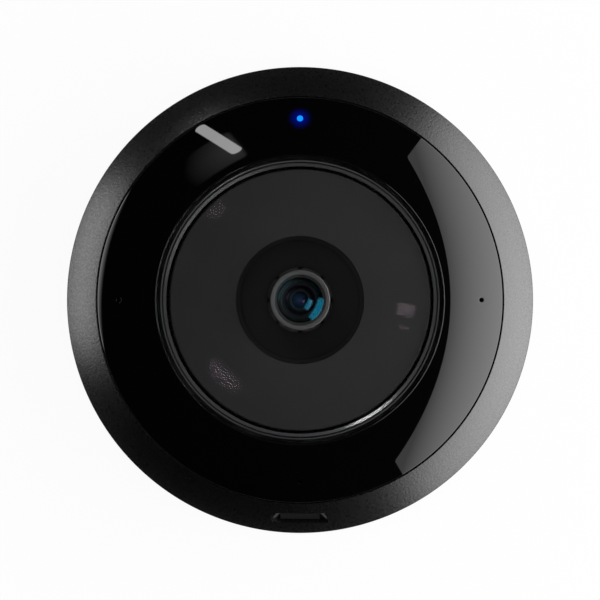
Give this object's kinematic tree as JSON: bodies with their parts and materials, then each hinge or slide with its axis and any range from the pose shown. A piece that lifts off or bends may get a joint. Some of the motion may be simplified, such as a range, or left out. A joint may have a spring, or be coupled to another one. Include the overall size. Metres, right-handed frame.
{
  "type": "fisheye ip camera",
  "caption": "Round ceiling camera: fisheye lens under a clear bubble, gloss black cover and satin black housing that twist-locks to a steel plate.",
  "frame": {"origin": "on the lens axis, in the plane of the mounting plate's ceiling face", "axes": "+Z out of the ceiling along the lens axis, +Y to 12 o'clock on the front (the status light), -Y to 6 o'clock (the release button)"},
  "size_m": [0.119, 0.119, 0.0485],
  "materials": {
    "plate_steel": "zinc-plated, matt",
    "spring_steel": "rolled strip and wire",
    "screw_steel": "zinc-plated",
    "satin_black": "fine-grained satin powder coat on a zinc or aluminium casting",
    "gloss_black": "polished black moulding",
    "clear_bubble": "clear optical polycarbonate",
    "mask_black": "dark grey, fine matt texture",
    "well_black": "black, matt",
    "black_anodised": "black anodised, turned",
    "coated_lens": "coated optical glass",
    "clear_lens": "optical glass",
    "filter_red": "infrared-cut coated glass",
    "moulded_black": "glass-filled black moulding",
    "board_green": "solder mask",
    "chip_black": "moulded chip package",
    "sensor_silicon": "polished silicon in a ceramic frame",
    "gilt": "gilt contact wire",
    "tinned_shield": "tinned steel shield",
    "ferrite": "pressed ferrite",
    "copper_coil": "enamelled copper winding and yoke",
    "can_aluminium": "sleeveless can",
    "connector_white": "natural nylon",
    "flex_amber": "polyimide flat cable",
    "flex_black": "flat cable under a black cover film",
    "silicone_grey": "soft silicone",
    "pad_blue": "thermal gap pad",
    "foam_black": "closed-cell foam",
    "light_blue": "lit blue status light"
  },
  "bodies": {
    "mount": {"mounting_plate": "plate_steel", "lock_leaf": "spring_steel", "leaf_screws": "screw_steel"},
    "camera": {"housing": "satin_black", "release_spring": "spring_steel", "sensor_board": "board_green", "sensor_screws": "screw_steel", "image_sensor": "sensor_silicon", "sensor_glass": "clear_lens", "lens_holder": "moulded_black", "filter_coil": "copper_coil", "lens_barrel": "black_anodised", "lens_front_ring": "black_anodised", "focus_lock_ring": "black_anodised", "front_glass": "coated_lens", "second_glass": "clear_lens", "third_glass": "clear_lens", "rear_glass": "clear_lens", "glass_spacers": "black_anodised", "sensor_flex": "flex_amber", "main_board": "board_green", "processor": "chip_black", "thermal_pad": "pad_blue", "memory_chips": "chip_black", "network_transformer": "chip_black", "power_inductor": "ferrite", "capacitors": "can_aluminium", "board_connectors": "connector_white", "ethernet_jack": "tinned_shield", "jack_contacts": "gilt", "reset_switch": "chip_black", "mask_disc": "mask_black", "lens_well": "well_black", "frame_screws": "screw_steel", "ring_board_strip": "flex_black", "ring_board": "board_green", "ring_board_screws": "screw_steel", "microphones": "can_aluminium", "microphone_gaskets": "foam_black", "status_light": "light_blue", "light_pipe": "light_blue", "bubble": "clear_bubble", "bubble_gasket": "silicone_grey", "bubble_retainer": "moulded_black", "retainer_screws": "screw_steel", "front_cover": "gloss_black", "cover_seal": "silicone_grey", "cover_screws": "screw_steel"},
    "release": {"release_button": "moulded_black"},
    "reset": {"reset_button": "moulded_black", "reset_stem": "moulded_black"},
    "carriage": {"filter_carriage": "moulded_black", "infrared_filter": "filter_red", "clear_filter": "clear_lens"},
    "rotor": {"filter_rotor": "moulded_black"}
  },
  "joints": [
    {"name": "mount_twist", "type": "hinge", "parent": "mount", "child": "camera", "pos_m": [0, 0, 0], "axis": [0, 0, 1], "range_deg": [0, 24], "deforming": ["lock_leaf"]},
    {"name": "release_press", "type": "slide", "parent": "camera", "child": "release", "axis": [0, 0.5956, -0.8033], "range_m": [0, 0.002], "stiffness_N_per_m": 800, "springref_m": -0.001, "deforming": ["release_spring"]},
    {"name": "reset_press", "type": "slide", "parent": "camera", "child": "reset", "axis": [0, 0, 1], "range_m": [0, 0.00035], "stiffness_N_per_m": 3000, "springref_m": -0.0001},
    {"name": "filter_slide", "type": "slide", "parent": "camera", "child": "carriage", "axis": [-1, 0, 0], "range_m": [0, 0.007]},
    {"name": "filter_swing", "type": "hinge", "parent": "camera", "child": "rotor", "pos_m": [0, -0.0114, 0.0153], "axis": [0, 0, 1], "range_deg": [0, 60]}
  ],
  "couplings": [
    {"joint": "filter_swing", "follows": "filter_slide", "rad_per_m": 149.6}
  ]
}
